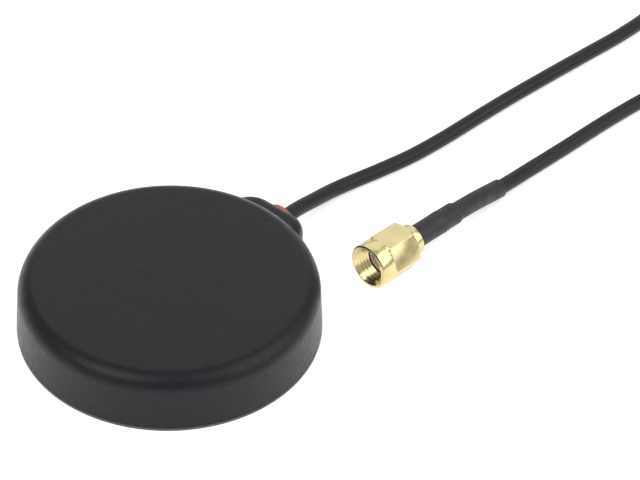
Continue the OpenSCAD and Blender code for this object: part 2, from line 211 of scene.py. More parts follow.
def joined(name, pieces):
    work = bmesh.new()
    for piece in pieces:
        work.from_mesh(piece.data)
    mesh = bpy.data.meshes.new(name)
    work.to_mesh(mesh)
    work.free()
    for piece in pieces:
        bpy.data.objects.remove(piece)
    return objectFrom(mesh, name)


def finishPiece(piece, material, body, nodes=(), smoothAngle=35):
    piece.data.materials.clear()
    piece.data.materials.append(material)
    smoothBy(piece, smoothAngle)
    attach(piece, body)
    if nodes:
        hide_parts(*nodes)
    return piece


def lathe(name, profile, columns, place=None):
    # turns a closed outline of [radius, height] points about Z; place moves the result
    angles = np.linspace(0, 2 * math.pi, columns, endpoint=False)
    profile = np.asarray(profile, float)
    rows = np.stack([profile[:, 0, None] * np.cos(angles), profile[:, 0, None] * np.sin(angles),
                     np.repeat(profile[:, 1, None], columns, 1)], -1)
    if place is not None:
        rows = place(rows)
    return gridObject(name, rows, wrapRows=True)


def roundTheAxis(name, profile, columns, ring, degrees):
    # the same turned shape at several places round the housing's axis
    made = []
    for a in np.radians(degrees):
        middle = ring * np.array([math.cos(a), math.sin(a), 0])
        made.append(lathe(name, profile, columns, lambda p, middle=middle: p + middle))
    return made


def roundedProfile(points, radius, steps=4):
    # the closed outline with each corner rounded, by at most a share of the sides that meet there
    points = [np.array(p, float) for p in points]
    made, share = [], 0.45
    for i, p in enumerate(points):
        before, after = points[i - 1] - p, points[(i + 1) % len(points)] - p
        reach = min(radius, np.linalg.norm(before) * share, np.linalg.norm(after) * share)
        if p[0] < 1e-6 or reach < 1e-4:
            made.append(p)
            continue
        a = p + before / np.linalg.norm(before) * reach
        b = p + after / np.linalg.norm(after) * reach
        for k in range(steps + 1):
            t = k / steps
            made.append((1 - t) ** 2 * a + 2 * t * (1 - t) * p + t * t * b)
    return np.array(made)


def onExit(rows):
    # a shape made about Z laid along the cable's exit, Z becoming X
    rows = np.asarray(rows, float)
    return np.stack([rows[..., 2], rows[..., 1], exitZ - rows[..., 0]], -1)


def onPlug(rows):
    # a shape made about Z placed on the plug's axis; z = 0 is the nut's front
    rows = np.asarray(rows, float)
    along, side, up = plugAxis, plugSide, np.array([0, 0, 1.0])
    return plugAt + rows[..., 2:3] * along + rows[..., 0:1] * side + rows[..., 1:2] * up


# where the cable leaves the housing and where the plug lies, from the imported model
stopLow, stopHigh = (np.array(v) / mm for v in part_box("cable_stop"))
exitZ = (stopLow[2] + stopHigh[2]) / 2
threadMount = next(m for m in record["mounts"] if m["name"] == "sma_thread")
threadMiddle = 1.8          # from the nut's front rim to the middle of its thread
plugAxis = -np.array(threadMount["axis"], float)
plugSide = np.array([-plugAxis[1], plugAxis[0], 0])
plugAt = np.array(threadMount["pos_m"], float) / mm - plugAxis * threadMiddle


# materials
def surface(name, colour, roughness, metallic=0.0, **sockets):
    made = bpy.data.materials.new(name)
    made.use_nodes = True
    shader = made.node_tree.nodes["Principled BSDF"]
    shader.inputs["Base Color"].default_value = (*colour, 1)
    shader.inputs["Roughness"].default_value = roughness
    shader.inputs["Metallic"].default_value = metallic
    for socket, value in sockets.items():
        shader.inputs[socket].default_value = value
    return made


def pattern(material, kind, stretch=(1, 1, 1), source="Object", **inputs):
    # a procedural texture on object coordinates (metres), or on the piece's own UV map
    tree = material.node_tree
    where = tree.nodes.new("ShaderNodeTexCoord")
    mapping = tree.nodes.new("ShaderNodeMapping")
    mapping.inputs["Scale"].default_value = stretch
    tree.links.new(where.outputs[source], mapping.inputs["Vector"])
    texture = tree.nodes.new(kind)
    tree.links.new(mapping.outputs["Vector"], texture.inputs["Vector"])
    for socket, value in inputs.items():
        texture.inputs[socket].default_value = value
    return texture.outputs[0]


def noise(material, size, detail=3.0, stretch=(1, 1, 1), source="Object"):
    # size: how wide one blotch is, in metres
    return pattern(material, "ShaderNodeTexNoise", stretch, source, Scale=1 / size, Detail=detail)


def colourBy(material, value, stops):
    tree = material.node_tree
    ramp = tree.nodes.new("ShaderNodeValToRGB")
    elements = ramp.color_ramp.elements
    while len(elements) < len(stops):
        elements.new(0.5)
    for element, (place, colour) in zip(elements, stops):
        element.position, element.color = place, (*colour, 1)
    tree.links.new(value, ramp.inputs["Fac"])
    tree.links.new(ramp.outputs["Color"], tree.nodes["Principled BSDF"].inputs["Base Color"])


def roughnessBy(material, value, low, high):
    # nearly all of a noise's values lie between 0.3 and 0.7
    tree = material.node_tree
    spread = tree.nodes.new("ShaderNodeMapRange")
    spread.inputs["From Min"].default_value, spread.inputs["From Max"].default_value = 0.3, 0.7
    spread.inputs["To Min"].default_value, spread.inputs["To Max"].default_value = low, high
    tree.links.new(value, spread.inputs["Value"])
    tree.links.new(spread.outputs["Result"], tree.nodes["Principled BSDF"].inputs["Roughness"])


def bumpBy(material, value, depth):
    # depth in metres; a second call adds its relief to the first
    tree = material.node_tree
    bump = tree.nodes.new("ShaderNodeBump")
    bump.inputs["Distance"].default_value = depth
    normal = tree.nodes["Principled BSDF"].inputs["Normal"]
    if normal.is_linked:
        tree.links.new(normal.links[0].from_socket, bump.inputs["Normal"])
    tree.links.new(value, bump.inputs["Height"])
    tree.links.new(bump.outputs["Normal"], normal)


def mixed(colour, factor):
    # the same colour, darker or lighter
    return tuple(c * factor for c in colour)


def blotched(material, colour, size, darker, lighter, detail=4):
    # the base colour varies slowly between a darker and a lighter one
    stops = [(0.3, mixed(colour, darker)), (0.7, mixed(colour, lighter))]
    colourBy(material, noise(material, size, detail), stops)


def grainedPlastic(name, colour, roughness, grain, depth, gloss=0.5):
    # moulded plastic with a fine spark-eroded grain
    made = surface(name, colour, roughness, **{"Specular IOR Level": gloss})
    blotched(made, colour, 0.012, 0.88, 1.12)
    roughnessBy(made, noise(made, grain * 3, 5), roughness - 0.06, roughness + 0.06)
    bumpBy(made, noise(made, grain, 4), depth)
    bumpBy(made, noise(made, grain * 9, 2), depth)
    return made


def rubber(name, colour, roughness=0.75):
    made = surface(name, colour, roughness)
    blotched(made, colour, 0.004, 0.8, 1.25, 5)
    roughnessBy(made, noise(made, 0.0011), roughness - 0.1, roughness + 0.12)
    bumpBy(made, noise(made, 0.0004, 5), 0.00003)
    return made


def metal(name, colour, roughness, marks=(1, 1, 14), worn=0.8, depth=0.000006):
    # plated or turned metal: fine tool marks round or along the piece, and duller patches
    made = surface(name, colour, roughness, 1.0)
    colourBy(made, noise(made, 0.003, 4), [(0.25, mixed(colour, worn)), (0.75, colour)])
    roughnessBy(made, noise(made, 0.0012, 5), roughness * 0.75, roughness * 1.35)
    bumpBy(made, noise(made, 0.0006, 3, marks), depth)
    return made


def jacketPlastic():
    # soft PVC, extruded: long faint streaks along the cable, a little dust
    colour = jacketSet["colour"]
    made = surface("cableJacket", colour, 0.42, **{"Specular IOR Level": 0.35})
    blotched(made, colour, 0.02, 0.8, 1.25, 5)
    streaks = noise(made, 1, 4, (26, 40, 1), "UV")
    roughnessBy(made, streaks, 0.34, 0.52)
    bumpBy(made, streaks, 0.00002)
    bumpBy(made, noise(made, 0.0005, 4), 0.000012)
    return made


def sleevePlastic():
    # heat-shrunk polyolefin: slightly wavy, matt, brown-black
    colour = sleeveSet["colour"]
    made = surface("shrunkSleeve", colour, 0.5)
    blotched(made, colour, 0.004, 0.8, 1.2)
    roughnessBy(made, noise(made, 0.0015, 4), 0.4, 0.62)
    bumpBy(made, noise(made, 0.0025, 2), 0.00012)
    bumpBy(made, noise(made, 0.0003, 4), 0.000015)
    return made


def siliconeSeal():
    colour = sealSet["colour"]
    made = surface("sealSilicone", colour, 0.42)
    shader = made.node_tree.nodes["Principled BSDF"]
    shader.inputs["Subsurface Weight"].default_value = 0.2
    shader.inputs["Subsurface Radius"].default_value = (0.0012, 0.0005, 0.0003)
    blotched(made, colour, 0.0025, 0.85, 1.15, 3)
    roughnessBy(made, noise(made, 0.0008, 4), 0.35, 0.55)
    bumpBy(made, noise(made, 0.0003, 4), 0.00002)
    return made


def whiteInsulator():
    colour = plugSet["insulatorColour"]
    made = surface("insulatorPlastic", colour, 0.4)
    made.node_tree.nodes["Principled BSDF"].inputs["Subsurface Weight"].default_value = 0.1
    blotched(made, colour, 0.002, 0.9, 1)
    roughnessBy(made, noise(made, 0.0006), 0.3, 0.5)
    bumpBy(made, noise(made, 0.00025, 4), 0.000015)
    return made


def boardLacquer():
    # green lacquer over copper tracks that show as a slightly raised, lighter net
    made = surface("boardLacquer", (0.01, 0.09, 0.035), 0.3)
    tracks = pattern(made, "ShaderNodeTexBrick", (1, 1, 0), Scale=260.0)
    colourBy(made, tracks, [(0.0, (0.008, 0.07, 0.028)), (1.0, (0.02, 0.16, 0.06))])
    roughnessBy(made, noise(made, 0.003), 0.22, 0.4)
    bumpBy(made, tracks, 0.00003)
    bumpBy(made, noise(made, 0.0005), 0.00001)
    return made


def bakedCeramic():
    made = surface("patchCeramic", (0.62, 0.55, 0.42), 0.6)
    colourBy(made, noise(made, 0.0006, 6), [(0.3, (0.55, 0.48, 0.36)), (0.7, (0.68, 0.61, 0.48))])
    roughnessBy(made, noise(made, 0.0015), 0.5, 0.75)
    bumpBy(made, noise(made, 0.0002, 5), 0.00002)
    return made


def braidedMetal():
    made = surface("braidMetal", (0.6, 0.55, 0.46), 0.35, 1.0)
    weave = pattern(made, "ShaderNodeTexWave", (1, 1, 1), Scale=900.0, Distortion=1.0)
    bumpBy(made, weave, 0.00006)
    # the weave's low places are painted darker: painted shade between the strands
    colourBy(made, weave, [(0.0, (0.25, 0.22, 0.18)), (0.6, (0.62, 0.57, 0.48))])
    return made


# the cable
jacketSet = {
    "radius": 1.4,
    "sides": 20,
    "step": 2.0,            # millimetres between two rings
    "underFerrule": (19.2, 15.8),   # where its end lies along the plug's axis
    "colour": (0.005, 0.005, 0.0054),
}
coilSet = {
    "centre": (184, -18),
    "outerRadius": 26.6,    # the outermost turn's centreline
    "columns": 5,
    "layers": 4,
    "pointsPerTurn": 24,
    "stepTurn": 80,         # degrees in which a turn steps over to the next
    "stepLead": 40,         # how much earlier each higher layer steps
}
outRoute = [(20, 0, 4), (25, 0, 4), (30, 0, 4), (34.5, 0, 3.7), (39.5, 0, 2.7), (44, 0, 1.8),
            (49, -0.9, 1.4), (56, -3, 1.4), (63, -4.8, 1.4), (71, -6.1, 1.4), (80, -7.1, 1.4),
            (90, -8.3, 1.4), (101, -9.9, 1.4), (112, -11.6, 1.4), (122, -13.1, 1.4), (132, -13.6, 1.4),
            (142, -11.4, 1.4), (151, -6.8, 1.4), (160, -0.9, 1.4), (168, 3.9, 1.4), (176, 7.4, 1.4)]
backRoute = [(169, -46.6, 1.4), (155, -43.3, 1.4), (141, -38.6, 1.4), (128, -34, 1.4),
             (116, -30.6, 1.4), (106, -28.2, 1.4), (95, -26.5, 1.4), (84, -25.2, 1.4), (74, -23.9, 1.4)]
sleeveRoute = [(65.5, -23.2, 1.95), (61.5, -22.9, 2.6), (57, -22.8, 3.5), (52, -22.57, 4.15)]


def ease(t):
    t = np.clip(t, 0, 1)
    return t * t * (3 - 2 * t)


def coilPoints():
    # turns lie side by side in layers; each steps over to the next place in its own arc
    columns, layers, wide = coilSet["columns"], coilSet["layers"], 2 * jacketSet["radius"]
    perTurn, outer = coilSet["pointsPerTurn"], coilSet["outerRadius"]
    places = [(c if layer % 2 == 0 else columns - 1 - c, layer)
              for layer in range(layers) for c in range(columns)]
    steps = []
    for turn in range(len(places) - 1):
        rises = places[turn][1] != places[turn + 1][1]
        order = 2 * (layers - 1 - places[turn][1]) - (1 if rises else 0)
        steps.append(turn * 360 + order * coilSet["stepLead"])
    made = []
    for k in range((len(places) - 1) * perTurn):
        turned = k * 360 / perTurn
        column, layer = places[0]
        for turn, start in enumerate(steps):
            done = float(ease((turned - start) / coilSet["stepTurn"]))
            column += (places[turn + 1][0] - places[turn][0]) * done
            layer += (places[turn + 1][1] - places[turn][1]) * done
        a, r = math.radians(90 - turned), outer - wide * column
        made.append((coilSet["centre"][0] + r * math.cos(a), coilSet["centre"][1] + r * math.sin(a),
                     wide * (layer + 0.5)))
    return made


def tailPoints(steps=12):
    # the last half turn moves out beside the coil and comes down to the floor
    wide, top = 2 * jacketSet["radius"], (coilSet["layers"] - 0.5) * 2 * jacketSet["radius"]
    made = []
    for k in range(steps + 1):
        turned = 180 * k / steps
        r = coilSet["outerRadius"] + wide * float(ease(turned / coilSet["stepTurn"]))
        z = top - (top - jacketSet["radius"]) * float(ease((turned - 30) / 150))
        a = math.radians(90 - turned)
        made.append((coilSet["centre"][0] + r * math.cos(a), coilSet["centre"][1] + r * math.sin(a), z))
    return made


def smoothPath(points, step):
    # an even walk along the smooth curve through the points
    points = np.array(points, float)
    padded = np.concatenate([points[:1], points, points[-1:]])
    t = np.linspace(0, 1, 8, endpoint=False)[:, None]
    spans = []
    for i in range(len(points) - 1):
        a, b, c, d = padded[i:i + 4]
        spans.append(0.5 * (2 * b + (c - a) * t + (2 * a - 5 * b + 4 * c - d) * t * t
                            + (3 * b - a - 3 * c + d) * t ** 3))
    line = np.concatenate(spans + [points[-1:]])
    gone = np.concatenate([[0], np.cumsum(np.linalg.norm(np.diff(line, axis=0), axis=1))])
    count = max(2, int(round(gone[-1] / step)) + 1)
    wanted = np.linspace(0, gone[-1], count)
    return np.stack([np.interp(wanted, gone, line[:, k]) for k in range(3)], 1)


def onPlugAxis(s):
    return tuple(plugAt + s * plugAxis)


def ringsAlong(path, radii, sides):
    heading = np.gradient(path, axis=0)
    heading /= np.linalg.norm(heading, axis=1)[:, None]
    side = np.cross([0, 0, 1.0], heading)
    side /= np.linalg.norm(side, axis=1)[:, None]
    up = np.cross(heading, side)
    a = np.linspace(0, 2 * math.pi, sides, endpoint=False)[None, :, None]
    radii = np.asarray(radii, float).reshape(-1, 1, 1)
    return path[:, None, :] + radii * (np.cos(a) * side[:, None, :] + np.sin(a) * up[:, None, :])


def addLengthMap(piece, rows, columns, lengths):
    # U runs round the piece and V along it, in metres
    layer = piece.data.uv_layers.new(name="lengthMap")
    count = rows * columns
    for polygon in piece.data.polygons:
        around = [v % columns for v in polygon.vertices if v < count]
        wraps = bool(around) and max(around) - min(around) > 1
        for loop, vertex in zip(polygon.loop_indices, polygon.vertices):
            row, column = (vertex // columns, vertex % columns) if vertex < count else (0, 0)
            if wraps and column == 0:
                column = columns
            layer.data[loop].uv = (column / columns, lengths[row] * mm)


cablePath = smoothPath(outRoute + coilPoints() + tailPoints() + backRoute + sleeveRoute
                       + [onPlugAxis(s) for s in jacketSet["underFerrule"]], jacketSet["step"])
cableLengths = np.concatenate([[0], np.cumsum(np.linalg.norm(np.diff(cablePath, axis=0), axis=1))])
cableRings = ringsAlong(cablePath, np.full(len(cablePath), jacketSet["radius"]), jacketSet["sides"])
cableJacket = gridObject("cableJacket", cableRings, startCap=True, endCap=True)
addLengthMap(cableJacket, len(cablePath), jacketSet["sides"], cableLengths)


# sleeves behind the plug
sleeveSet = {
    "largeStart": 11.8,     # along the plug's axis from the nut's front
    "largeEnd": 22.1,
    "largeRadius": 2.13,
    "largeInner": 1.8,
    "smallEnd": 18.3,
    "smallRadius": 1.76,
    "smallInner": 1.41,
    "endRound": 0.12,
    "bulge": 0.05,
    "sides": 48,
    "colour": (0.013, 0.0105, 0.0105),
}


def sleeveObject(name, path, outer, inner, endRound):
    # a heat-shrunk tube: the outer wall, both rounded ends and the inner wall
    gone = np.concatenate([[0], np.cumsum(np.linalg.norm(np.diff(path, axis=0), axis=1))])
    left = gone[-1] - gone
    near = np.clip(np.minimum(gone, left) / endRound, 0, 1)
    soft = outer - endRound * (1 - np.sqrt(1 - (1 - near) ** 2))
    rows = np.concatenate([ringsAlong(path, soft, sleeveSet["sides"]),
                           ringsAlong(path, np.full(len(path), inner), sleeveSet["sides"])[::-1]])
    return gridObject(name, rows, wrapRows=True)


def plugStations(start, end, endRound):
    # places along the plug's axis for a sleeve's rings, closer together at its rounded ends
    edge = np.array([0, 0.04, 0.12, 0.3, 0.6, 1]) * endRound
    middle = np.arange(start + endRound, end - endRound, 0.35)
    return np.unique(np.round(np.concatenate([start + edge, middle, end - edge]), 4))


def makeSleeves():
    # the large one bulges a little over the small one's end and shrinks tighter behind it
    endRound, under = sleeveSet["endRound"], sleeveSet["smallEnd"]
    s = plugStations(sleeveSet["largeStart"], sleeveSet["largeEnd"], endRound)
    bulge = np.exp(-((s - under + 0.3) / 0.5) ** 2) - ease((s - under) / 1.5)
    grip = sleeveSet["largeRadius"] + sleeveSet["bulge"] * bulge
    straight = np.array([onPlugAxis(v) for v in s])
    large = sleeveObject("largeSleeve", straight, grip, sleeveSet["largeInner"], endRound)
    path = smoothPath(sleeveRoute + [onPlugAxis(under)], 0.3)
    ends = np.concatenate([path[0] + (path[1] - path[0]) * np.array([[0.1], [0.35]]), path[1:]])
    path = np.concatenate([path[:1], ends])
    small = sleeveObject("smallSleeve", path, np.full(len(path), sleeveSet["smallRadius"]),
                         sleeveSet["smallInner"], endRound)
    shrunk = sleevePlastic()
    finishPiece(large, shrunk, "root", ["sleeve_large"])
    finishPiece(small, shrunk, "root", ["sleeve_small"])
    return [large, small]


# the plug
plugSet = {
    "flats": 7.95,
    "nutLength": 9.3,
    "frontRadius": 4.2,
    "hexStart": 2.9,
    "chamfer": 0.5,
    "threadRadius": 3.2,
    "threadPitch": 0.7056,
    "threadDepth": 0.38,
    "threadStart": 0.4,
    "threadTurns": 3.9,
    "threadEnd": 3.1,
    "reliefRadius": 3.3,    # clear of the plug's flange behind the thread
    "barrelBore": 2.68,
    "ringGroove": 3.05,
    "threadTurn": 129,      # degrees round the bore to where the ridge begins
    "gold": (0.76, 0.65, 0.34),
    "insulatorColour": (0.97, 0.86, 0.76),
    "gasketColour": (0.94, 0.78, 0.66),
    "columns": 96,
}


def startTree(name, inputs):
    # a Geometry Nodes tree with its named inputs and their kinds
    tree = bpy.data.node_groups.new(name, "GeometryNodeTree")
    for label, kind in inputs.items():
        tree.interface.new_socket(label, in_out="INPUT", socket_type="NodeSocket" + kind)
    tree.interface.new_socket("Geometry", in_out="OUTPUT", socket_type="NodeSocketGeometry")
    return tree, tree.nodes.new("NodeGroupInput")


def helixTree():
    # a ridge that follows a helix, thin at both ends
    tree, given = startTree("threadRidge", {"Radius": "Float", "Pitch": "Float", "Turns": "Float",
                                            "Depth": "Float", "Finish": "Material"})
    nodes, link = tree.nodes, tree.links.new
    spiral = nodes.new("GeometryNodeCurveSpiral")
    spiral.inputs["Resolution"].default_value = 48
    link(given.outputs["Turns"], spiral.inputs["Rotations"])
    link(given.outputs["Radius"], spiral.inputs["Start Radius"])
    link(given.outputs["Radius"], spiral.inputs["End Radius"])
    height = nodes.new("ShaderNodeMath")
    height.operation = "MULTIPLY"
    link(given.outputs["Turns"], height.inputs[0])
    link(given.outputs["Pitch"], height.inputs[1])
    link(height.outputs[0], spiral.inputs["Height"])
    spiral.inputs["Reverse"].default_value = True       # a right-hand thread
    upright = nodes.new("GeometryNodeSetCurveNormal")
    upright.mode = "Z_UP"
    link(spiral.outputs["Curve"], upright.inputs["Curve"])
    along = nodes.new("GeometryNodeSplineParameter")
    taper = nodes.new("ShaderNodeFloatCurve")
    points = taper.mapping.curves[0].points
    points[0].location, points[1].location = (0, 0.03), (1, 0.03)
    points.new(0.06, 1)
    points.new(0.94, 1)
    link(along.outputs["Factor"], taper.inputs["Value"])
    thickness = nodes.new("GeometryNodeSetCurveRadius")
    link(upright.outputs["Curve"], thickness.inputs["Curve"])
    link(taper.outputs["Value"], thickness.inputs["Radius"])
    profile = nodes.new("GeometryNodeCurvePrimitiveCircle")
    profile.inputs["Resolution"].default_value = 4
    link(given.outputs["Depth"], profile.inputs["Radius"])
    sweep = nodes.new("GeometryNodeCurveToMesh")
    sweep.inputs["Fill Caps"].default_value = True
    link(thickness.outputs["Curve"], sweep.inputs["Curve"])
    link(profile.outputs["Curve"], sweep.inputs["Profile Curve"])
    finishTree(tree, given, sweep.outputs["Mesh"])
    return tree


def copiesTree():
    # copies of one piece, evenly round a circle
    tree, given = startTree("copiesOnCircle", {"Count": "Int", "Radius": "Float", "Start": "Float",
                                               "Piece": "Object", "Finish": "Material"})
    nodes, link = tree.nodes, tree.links.new
    circle = nodes.new("GeometryNodeMeshCircle")
    link(given.outputs["Count"], circle.inputs["Vertices"])
    link(given.outputs["Radius"], circle.inputs["Radius"])
    turn = nodes.new("ShaderNodeCombineXYZ")
    link(given.outputs["Start"], turn.inputs["Z"])
    turned = nodes.new("GeometryNodeTransform")
    link(circle.outputs["Mesh"], turned.inputs["Geometry"])
    link(turn.outputs["Vector"], turned.inputs["Rotation"])
    shape = nodes.new("GeometryNodeObjectInfo")
    link(given.outputs["Piece"], shape.inputs["Object"])
    copies = nodes.new("GeometryNodeInstanceOnPoints")
    link(turned.outputs["Geometry"], copies.inputs["Points"])
    link(shape.outputs["Geometry"], copies.inputs["Instance"])
    finishTree(tree, given, copies.outputs["Instances"])
    return tree


def finishTree(tree, given, geometry):
    real = tree.nodes.new("GeometryNodeRealizeInstances")
    painted = tree.nodes.new("GeometryNodeSetMaterial")
    out = tree.nodes.new("NodeGroupOutput")
    tree.links.new(geometry, real.inputs["Geometry"])
    tree.links.new(real.outputs["Geometry"], painted.inputs["Geometry"])
    tree.links.new(given.outputs["Finish"], painted.inputs["Material"])
    tree.links.new(painted.outputs["Geometry"], out.inputs["Geometry"])


def grown(name, tree, **inputs):
    # runs a node tree once and returns its result as a plain mesh
    carrier = objectFrom(bpy.data.meshes.new(name + "Seed"), name + "Seed")
    modifier = carrier.modifiers.new("nodes", "NODES")
    modifier.node_group = tree
    sockets = {i.name: i.identifier for i in tree.interface.items_tree if i.in_out == "INPUT"}
    for key, value in inputs.items():
        modifier[sockets[key]] = value
    return evaluated(carrier, name)


def reshaped(piece, place):
    # moves every point of a piece by a rule on millimetre points
    count = len(piece.data.vertices)
    points = np.empty(count * 3)
    piece.data.vertices.foreach_get("co", points)
    moved = place(points.reshape(-1, 3) / mm) * mm
    piece.data.vertices.foreach_set("co", moved.ravel())
    piece.data.update()
    return piece


def bevelled(piece, width):
    edge = piece.modifiers.new("bevel", "BEVEL")
    edge.width, edge.segments, edge.angle_limit = width * mm, 2, math.radians(25)
    edge.limit_method, edge.harden_normals = "ANGLE", False
    return evaluated(piece, piece.name)


def prism(name, outline, low, high):
    # a straight bar with the outline in X and Y from height low to high
    outline = np.array(outline, float)
    rows = [np.column_stack([outline, np.full(len(outline), z)]) for z in (low, high)]
    return gridObject(name, np.array(rows), startCap=True, endCap=True)


def bar(name, x, y, low, high):
    return prism(name, [(-x, -y), (x, -y), (x, y), (-x, y)], low, high)


def makeNut(gold):
    p = plugSet
    flat, hexStart, length, columns = p["flats"] / 2, p["hexStart"], p["nutLength"], p["columns"]
    corner, front, thread = flat / math.cos(math.radians(30)), p["frontRadius"], p["threadRadius"]
    corners = [(corner * math.cos(a), corner * math.sin(a)) for a in np.radians(range(0, 360, 60))]
    nut = prism("couplingNut", corners, hexStart - 1, length)
    turned = lathe("nutTurned", [(0, hexStart - 1.5), (front, hexStart - 1.5), (front, hexStart - 0.2),
                                 (corner + 0.1, hexStart + 0.35), (corner + 0.1, length - 0.7),
                                 (flat - 0.1, length + 0.01), (0, length + 0.01)], columns)
    nut = combined(nut, [turned], "INTERSECT")
    collar = lathe("nutFront", [(0, 0), (front - 0.25, 0), (front - 0.07, 0.07), (front, 0.25),
                                (front, hexStart), (0, hexStart)], columns)
    nut = combined(nut, [collar], "UNION")
    relief, barrel, groove = p["reliefRadius"], p["barrelBore"], p["ringGroove"]
    bore = lathe("nutBore", [(0, -1), (thread + 1.5, -1), (thread + p["chamfer"], 0), (thread, p["chamfer"]),
                             (thread, p["threadEnd"]), (relief, p["threadEnd"] + 0.1), (relief, 5.5),
                             (barrel, 5.5), (barrel, 6.7), (groove, 6.7), (groove, 7.5), (barrel, 7.5),
                             (barrel, length + 1), (0, length + 1)], columns)
    nut = bevelled(combined(nut, [bore], "DIFFERENCE"), 0.05)
    ridge = grown("threadRidge", helixTree(), Radius=thread * mm, Pitch=p["threadPitch"] * mm,
                  Turns=p["threadTurns"], Depth=p["threadDepth"] * mm, Finish=gold)
    c, s = math.cos(math.radians(p["threadTurn"])), math.sin(math.radians(p["threadTurn"]))
    turn = np.array([[c, s, 0], [-s, c, 0], [0, 0, 1]])
    ridge = reshaped(ridge, lambda points: points @ turn + [0, 0, p["threadStart"]])
    nut = joined("couplingNut", [nut, ridge])
    nut = reshaped(nut, onPlug)
    tidyMesh(nut.data)
    return finishPiece(nut, gold, "nut", ["coupling_nut"], 28)


def makePlug(gold):
    # outlines as [radius, distance behind the nut's front]
    body = [(0.8, 9), (1.8, 9), (1.8, 5.2), (2.1, 5.2), (2.1, 3.3), (2.3, 3.3), (2.3, 4.4), (3.1, 4.4),
            (3.1, 5.4), (2.6, 5.4), (2.6, 6.8), (2.2, 6.8), (2.2, 7.4), (2.6, 7.4), (2.6, 9.5), (2.6, 9.75),
            (2.9, 9.95), (2.9, 11.3), (2.5, 11.7), (1.55, 11.7), (1.55, 15.5), (0.8, 15.5)]
    plug = lathe("plugBody", roundedProfile(body, 0.05, 2), plugSet["columns"], onPlug)
    finishPiece(plug, gold, "root", ["plug_body"], 28)
    discShape = [(0.5, 3.35), (2.05, 3.35), (2.05, 5.1), (1.75, 5.1), (1.75, 10.6), (0.5, 10.6)]
    disc = lathe("plugInsulator", roundedProfile(discShape, 0.08, 3), 64, onPlug)
    finishPiece(disc, whiteInsulator(), "root", ["plug_insulator"])
    gasketShape = [(2.35, 3.36), (3.08, 3.36), (3.08, 4.35), (2.35, 4.35)]
    gasket = lathe("plugGasket", roundedProfile(gasketShape, 0.2, 5), 64, onPlug)
    pale = rubber("gasketRubber", plugSet["gasketColour"], 0.6)
    finishPiece(gasket, pale, "root", ["plug_gasket"])
    contactShape = [(0, 3.55), (0.33, 3.5), (0.45, 3.62), (0.45, 10.3), (0, 10.3)]
    contact = lathe("plugContact", contactShape, 32, onPlug)
    finishPiece(contact, gold, "root", ["plug_contact"])
    return [plug, disc, gasket, contact]


# housing
coverSet = {
    "radius": 26.5,
    "wallTop": 8.0,
    "wallTopRadius": 26.05,
    "edgeRadius": 3.0,
    "height": 11.0,
    "edgeLift": 0.05,       # leaves a faint edge where the top's rounding meets the flat
    "bossReach": 29.8,
    "bossHeight": 8.4,
    "bossFace": 5.8,
    "bossCorner": 5.0,
    "bossTurn": 60,
    "bossRoot": 18.0,
    "bossEdge": 2.4,
    "blend": 0.5,           # soft hollow where the boss meets the wall
    "seam": 0.65,
    "seamBevel": 0.14,
    "innerRadius": 24.2,
    "ceiling": 9.4,
    "innerCorner": 1.4,
    "seatRadius": 3.38,     # the arch that the seal's flange sits in
    "seatBack": 28.4,
    "sealBore": 2.2,
    "colour": (0.0042, 0.0042, 0.0072),
}
plateSet = {
    "rimTop": 0.6,
    "edgeBevel": 0.15,
    "plugRadius": 24.05,
    "top": 2.6,
    "padRadius": 18.6,
    "padHeight": 0.6,
    "padRing": 1.2,         # from one ring in the pad's underside to the next
    "screwRing": 21.6,
    "screwAngles": (45, 135, 225, 315),
    "magnetRing": 14,
    "magnetAngles": (30, 150, 270),
    "postRing": 16.8,
    "postAngles": (60, 180, 300),
    "colour": (0.075, 0.075, 0.078),
}


def bossPlan(x, y):
    # signed distance to the boss's outline seen from above
    half, corner = coverSet["bossFace"] / 2, coverSet["bossCorner"]
    turn = math.radians(coverSet["bossTurn"])
    across, off = x - (coverSet["bossReach"] - corner), np.abs(y) - half
    flank = across * math.cos(turn) + off * math.sin(turn)
    bend = np.arctan2(off, across)      # 0 straight out, growing towards the flank
    inCorner = (off > 0) & (bend < turn) & (across > 0)
    outline = np.where(inCorner, np.hypot(across, off), np.maximum(across, flank)) - corner
    return np.maximum(outline, coverSet["bossRoot"] - x)


def rounded(a, b, radius):
    # where two walls meet with a rounded edge
    outside = np.hypot(np.maximum(a + radius, 0), np.maximum(b + radius, 0))
    return np.minimum(np.maximum(a + radius, b + radius), 0) + outside - radius


def blended(a, b, width):
    # two shapes joined with a soft hollow between them
    near = np.maximum(width - np.abs(a - b), 0) / width
    return np.minimum(a, b) - near ** 2 * width / 4


def coverDistance(x, y, z):
    # signed distance to the cover's outside
    c = coverSet
    lean = (c["radius"] - c["wallTopRadius"]) / (c["wallTop"] - c["seam"])
    wall = np.hypot(x, y) - (c["radius"] - lean * (z - c["seam"]))
    puck = np.maximum(rounded(wall, z - c["height"] - c["edgeLift"], c["edgeRadius"]), z - c["height"])
    boss = rounded(bossPlan(x, y), z - c["bossHeight"], c["bossEdge"])
    return blended(puck, boss, c["blend"])


def planDistance(x, y, z):
    # the same seen from above, for the base plate's rim
    return blended(np.hypot(x, y) - coverSet["radius"], bossPlan(x, y), coverSet["blend"])


def castOut(distance, targets, centre, low=0.85, high=1.3, rounds=26):
    # each target slides along its line from the centre until it lies on the surface
    lows, highs = np.full(targets.shape[:-1], low), np.full(targets.shape[:-1], high)
    for _ in range(rounds):
        middle = (lows + highs) / 2
        at = centre + (targets - centre) * middle[..., None]
        inside = distance(at[..., 0], at[..., 1], at[..., 2]) < 0
        lows, highs = np.where(inside, middle, lows), np.where(inside, highs, middle)
    return centre + (targets - centre) * ((lows + highs) / 2)[..., None]


